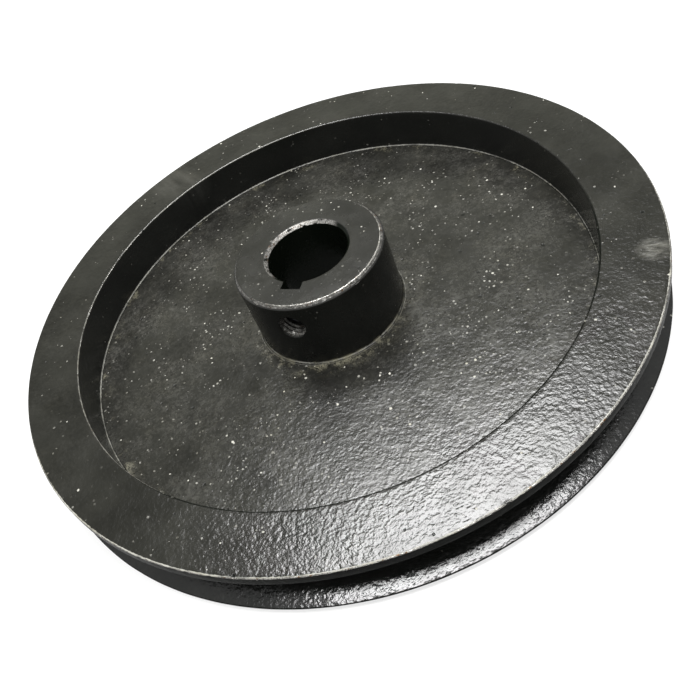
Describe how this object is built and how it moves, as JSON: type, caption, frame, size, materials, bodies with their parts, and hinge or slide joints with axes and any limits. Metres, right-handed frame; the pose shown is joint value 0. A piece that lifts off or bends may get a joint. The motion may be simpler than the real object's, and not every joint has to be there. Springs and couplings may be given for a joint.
{
  "type": "v belt pulley",
  "caption": "Single-groove V-belt pulley with a flat disc web, an offset keyed hub and a set screw over the keyway.",
  "frame": {"origin": "on the shaft axis, in the middle plane of the belt groove", "axes": "+Z along the shaft axis, towards the long end of the hub; +X and +Y radial; the keyway and the set screw point 232.7 degrees round from +X"},
  "size_m": [0.2, 0.2, 0.0296],
  "materials": {
    "rim_paint": "gloss black orange-peel paint over steel, chipped bright along the edges",
    "web_paint": "gloss black orange-peel paint over steel plate, with pale dust",
    "hub_paint": "smooth gloss black paint outside, bare machined steel in the bore and keyway",
    "weld_paint": "gloss black paint over rippled weld beads",
    "screw_steel": "black oxide, lightly oiled"
  },
  "bodies": {
    "pulley": {"rim": "rim_paint", "web_disc": "web_paint", "hub": "hub_paint", "rim_weld": "weld_paint", "hub_weld": "weld_paint"},
    "set_screw": {"set_screw": "screw_steel"}
  },
  "joints": [
    {"name": "set_screw_travel", "type": "slide", "parent": "pulley", "child": "set_screw", "axis": [-0.606, -0.7955, 0], "range_m": [0, 0.012]}
  ]
}
